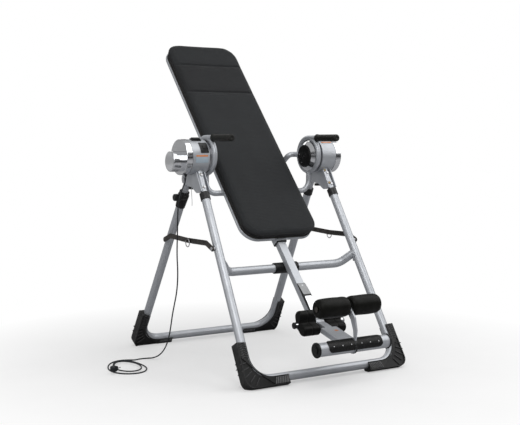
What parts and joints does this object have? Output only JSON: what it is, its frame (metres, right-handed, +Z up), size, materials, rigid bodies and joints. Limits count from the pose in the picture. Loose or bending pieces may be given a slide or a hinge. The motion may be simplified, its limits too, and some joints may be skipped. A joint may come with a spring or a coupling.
{
  "type": "inversion table",
  "caption": "Motorised inversion table: folding tube frame, geared hubs, a tilting padded bed on handle rings, and a sliding boom with ankle cups, foam rollers and a foot bar",
  "frame": {"origin": "on the floor, under the middle of the bounding box of the table without its cord", "axes": "+X to the side of the drum without the motor, +Y from the foot end to the rear legs, +Z up"},
  "size_m": [1.1915, 1.3712, 1.5087],
  "materials": {
    "frame_paint": "satin silver paint",
    "black_rubber": "matt moulded rubber",
    "cord_rubber": "smooth cord jacket",
    "black_plastic": "fine-grained black plastic",
    "bare_steel": "bright zinc",
    "bearing_brass": "sintered bronze",
    "motor_paint": "cast housing",
    "bright_chrome": "polished",
    "board_wood": "plywood",
    "pad_cloth": "woven cover over foam",
    "cup_foam": "skinned moulded foam",
    "roller_foam": "foam rubber",
    "black_steel": "satin black paint"
  },
  "bodies": {
    "frame": {"front_frame_tube": "frame_paint", "crossbar": "frame_paint", "crossbar_bumper": "black_rubber", "front_foot_caps": "black_rubber", "hub_brackets": "frame_paint", "frame_fasteners": "bare_steel", "front_collars": "black_plastic", "fold_stops": "black_rubber", "drum_shells": "frame_paint", "drum_end_caps": "bright_chrome", "motor_body": "motor_paint", "shaft_bearings": "bearing_brass", "switch_panel": "black_plastic", "cord_gland": "cord_rubber", "power_cord": "cord_rubber", "cord_coil": "cord_rubber", "power_plug": "cord_rubber"},
    "rear_frame": {"rear_frame_tube": "frame_paint", "rear_foot_caps": "black_rubber", "rear_stubs": "frame_paint", "rear_collars": "black_plastic", "rear_link_studs": "frame_paint"},
    "lock_knob": {"lock_knob": "black_plastic"},
    "power_rocker": {"power_rocker": "black_plastic"},
    "stop_button": {"stop_button": "black_plastic"},
    "left_front_link": {"left_front_link": "black_steel"},
    "right_front_link": {"right_front_link": "black_steel"},
    "left_rear_link": {"left_rear_link": "black_steel"},
    "right_rear_link": {"right_rear_link": "black_steel"},
    "left_pull_ring": {"left_pull_ring": "bare_steel"},
    "right_pull_ring": {"right_pull_ring": "bare_steel"},
    "bed": {"handle_rings": "frame_paint", "hand_grips": "black_rubber", "cross_arm": "frame_paint", "side_arms": "frame_paint", "bed_rail": "frame_paint", "bed_board": "board_wood", "bed_pad": "pad_cloth", "boom_socket": "frame_paint", "socket_bush": "black_plastic", "hub_bells": "bright_chrome", "hub_discs": "black_plastic", "disc_screws": "bare_steel", "hub_shafts": "bare_steel", "ring_gear": "bare_steel"},
    "motor_pinion": {"motor_pinion": "bare_steel"},
    "boom": {"boom_tube": "frame_paint", "boom_cover": "black_plastic", "foot_carrier": "frame_paint", "cup_axle": "bright_chrome", "foot_treads": "black_rubber", "end_plugs": "black_plastic", "boom_screws": "bare_steel"},
    "height_pin": {"height_pin": "black_plastic"},
    "left_ankle_cup": {"left_ankle_cup": "cup_foam"},
    "right_ankle_cup": {"right_ankle_cup": "cup_foam"},
    "clamp_arm": {"clamp_arm": "frame_paint", "roller_axle": "black_steel"},
    "left_roller": {"left_roller": "roller_foam"},
    "right_roller": {"right_roller": "roller_foam"}
  },
  "joints": [
    {"name": "bed_tilt", "type": "hinge", "parent": "frame", "child": "bed", "pos_m": [0.0275, 0.0635, 0.946], "axis": [-1, 0, 0], "range_deg": [0, 140]},
    {"name": "pinion_turn", "type": "hinge", "parent": "frame", "child": "motor_pinion", "pos_m": [-0.3325, 0.0635, 0.927], "axis": [-1, 0, 0], "range_deg": [0, 583.33]},
    {"name": "boom_slide", "type": "slide", "parent": "bed", "child": "boom", "axis": [0, -0.6587, -0.7524], "range_m": [-0.05, 0.1]},
    {"name": "rear_fold", "type": "hinge", "parent": "frame", "child": "rear_frame", "pos_m": [0.0275, 0.1215, 0.845], "axis": [-1, 0, 0], "range_deg": [0, 50]},
    {"name": "left_front_link_turn", "type": "hinge", "parent": "frame", "child": "left_front_link", "pos_m": [-0.3625, -0.17005, 0.552], "axis": [1, 0, 0], "range_deg": [0, 63.7]},
    {"name": "left_rear_link_turn", "type": "hinge", "parent": "left_front_link", "child": "left_rear_link", "pos_m": [-0.3625, 0.0455, 0.571], "axis": [-1, 0, 0], "range_deg": [0, 126.6]},
    {"name": "left_ring_swing", "type": "hinge", "parent": "left_front_link", "child": "left_pull_ring", "pos_m": [-0.3682, 0.0455, 0.571], "axis": [1, 0, 0], "range_deg": [-75, 75]},
    {"name": "right_front_link_turn", "type": "hinge", "parent": "frame", "child": "right_front_link", "pos_m": [0.4175, -0.17005, 0.552], "axis": [1, 0, 0], "range_deg": [0, 63.7]},
    {"name": "right_rear_link_turn", "type": "hinge", "parent": "right_front_link", "child": "right_rear_link", "pos_m": [0.4175, 0.0455, 0.571], "axis": [-1, 0, 0], "range_deg": [0, 126.6]},
    {"name": "right_ring_swing", "type": "hinge", "parent": "right_front_link", "child": "right_pull_ring", "pos_m": [0.4232, 0.0455, 0.571], "axis": [1, 0, 0], "range_deg": [-75, 75]},
    {"name": "lock_pull", "type": "slide", "parent": "rear_frame", "child": "lock_knob", "axis": [-1, 0, 0], "range_m": [0, 0.008], "stiffness_N_per_m": 600},
    {"name": "power_rock", "type": "hinge", "parent": "frame", "child": "power_rocker", "pos_m": [-0.3095, -0.00435, 0.99006], "axis": [1, 0, 0], "range_deg": [-6, 6]},
    {"name": "stop_press", "type": "slide", "parent": "frame", "child": "stop_button", "axis": [0, 0.2756, -0.9613], "range_m": [0, 0.003], "stiffness_N_per_m": 800},
    {"name": "pin_pull", "type": "slide", "parent": "bed", "child": "height_pin", "axis": [1, 0, 0], "range_m": [0, 0.01], "stiffness_N_per_m": 700},
    {"name": "left_cup_turn", "type": "hinge", "parent": "boom", "child": "left_ankle_cup", "pos_m": [-0.0405, -0.41607, 0.22816], "axis": [1, 0, 0], "range_deg": [-15, 15]},
    {"name": "right_cup_turn", "type": "hinge", "parent": "boom", "child": "right_ankle_cup", "pos_m": [0.0955, -0.41607, 0.22816], "axis": [1, 0, 0], "range_deg": [-15, 15]},
    {"name": "clamp_swing", "type": "hinge", "parent": "boom", "child": "clamp_arm", "pos_m": [0.0275, -0.65597, 0.16971], "axis": [1, 0, 0], "range_deg": [0, 35]},
    {"name": "left_roller_spin", "type": "hinge", "parent": "clamp_arm", "child": "left_roller", "pos_m": [-0.0525, -0.62131, 0.33075], "axis": [1, 0, 0], "continuous": true},
    {"name": "right_roller_spin", "type": "hinge", "parent": "clamp_arm", "child": "right_roller", "pos_m": [0.1075, -0.62131, 0.33075], "axis": [1, 0, 0], "continuous": true}
  ],
  "couplings": [
    {"joint": "pinion_turn", "follows": "bed_tilt", "ratio": 4.1667},
    {"joint": "left_front_link_turn", "follows": "rear_fold", "ratio": 1.274},
    {"joint": "left_rear_link_turn", "follows": "rear_fold", "ratio": 2.532},
    {"joint": "right_front_link_turn", "follows": "rear_fold", "ratio": 1.274},
    {"joint": "right_rear_link_turn", "follows": "rear_fold", "ratio": 2.532}
  ]
}
